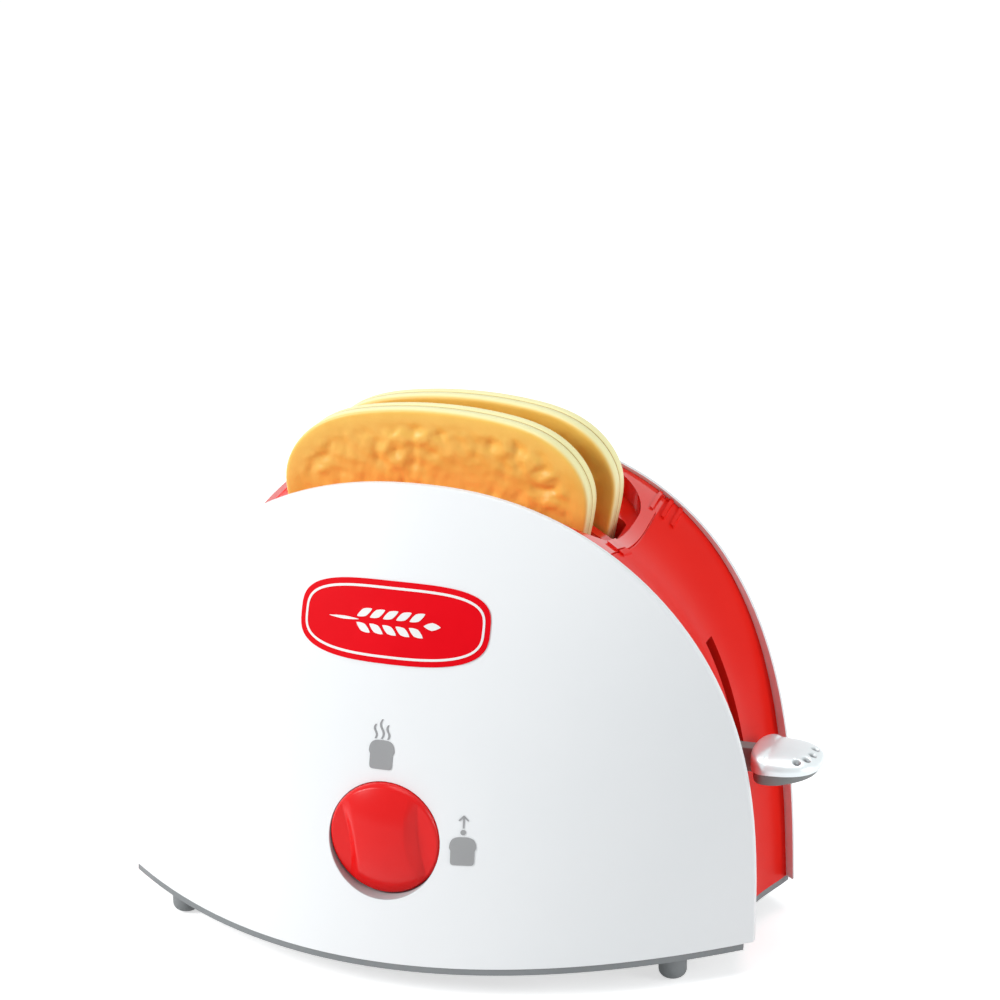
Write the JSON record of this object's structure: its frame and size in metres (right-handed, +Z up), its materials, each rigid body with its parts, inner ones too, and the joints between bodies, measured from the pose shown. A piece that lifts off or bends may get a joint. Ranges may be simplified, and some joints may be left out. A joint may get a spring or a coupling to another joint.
{
  "type": "toy toaster",
  "caption": "Child's pretend pop-up toaster: dome-fronted white and red shell, bread slots with hollow toast, sprung side lever and a turning dial that frees the latch.",
  "frame": {"origin": "on the table, under the middle of the whole length (shell and lever) and of the depth", "axes": "+X along the toaster towards the lever, +Y towards the back (the dial faces -Y), +Z up"},
  "size_m": [0.2201, 0.144, 0.1645],
  "materials": {
    "white_shell": "polished white ABS",
    "red_shell": "polished red ABS",
    "red_dial": "satin-gloss red ABS",
    "grey_base": "matte grey ABS",
    "light_grey_plastic": "light grey ABS",
    "silver_plastic": "silver-coloured ABS with a soft sheen",
    "stem_grey": "matte mid grey ABS",
    "toast_plastic": "toast-brown moulded plastic, bumpy",
    "inner_plastic": "grey internal ABS",
    "carriage_plastic": "light grey acetal",
    "latch_plastic": "natural acetal",
    "steel": "zinc-plated steel"
  },
  "bodies": {
    "housing": {"front_panel": "white_shell", "back_panel": "white_shell", "top_cover": "red_shell", "right_end_shell": "red_shell", "left_end_shell": "red_shell", "base_plate": "grey_base", "feet": "grey_base", "base_screws": "steel", "bread_well": "inner_plastic", "rod_bracket": "inner_plastic", "guide_rods": "steel", "lift_springs": "steel", "dial_liner": "light_grey_plastic", "latch_bracket": "inner_plastic", "latch_pin": "steel", "latch_spring": "steel"},
    "carriage": {"carriage": "carriage_plastic", "lever_arm": "stem_grey", "lever_cap": "silver_plastic", "lever_screws": "steel"},
    "dial": {"dial_knob": "red_dial", "release_cam": "latch_plastic", "cam_screw": "steel"},
    "latch": {"latch_hook": "latch_plastic"},
    "front_toast": {"front_slice_near_half": "toast_plastic", "front_slice_far_half": "toast_plastic"},
    "back_toast": {"back_slice_near_half": "toast_plastic", "back_slice_far_half": "toast_plastic"}
  },
  "joints": [
    {"name": "carriage_slide", "type": "slide", "parent": "housing", "child": "carriage", "axis": [0, 0, 1], "range_m": [-0.032, 0.032], "stiffness_N_per_m": 60, "springref_m": 0.0142, "deforming": ["lift_springs"]},
    {"name": "dial_turn", "type": "hinge", "parent": "housing", "child": "dial", "pos_m": [-0.00755, -0.067, 0.047], "axis": [0, 1, 0], "range_deg": [0, 90]},
    {"name": "latch_pivot", "type": "hinge", "parent": "housing", "child": "latch", "pos_m": [0.04845, -0.034, 0.048], "axis": [0, 1, 0], "range_deg": [0, 6], "deforming": ["latch_spring"]},
    {"name": "front_toast_lift", "type": "slide", "parent": "carriage", "child": "front_toast", "axis": [0, 0, 1], "range_m": [0, 0.11]},
    {"name": "back_toast_lift", "type": "slide", "parent": "carriage", "child": "back_toast", "axis": [0, 0, 1], "range_m": [0, 0.11]}
  ],
  "couplings": [
    {"joint": "latch_pivot", "follows": "dial_turn", "ratio": 0.066667}
  ]
}
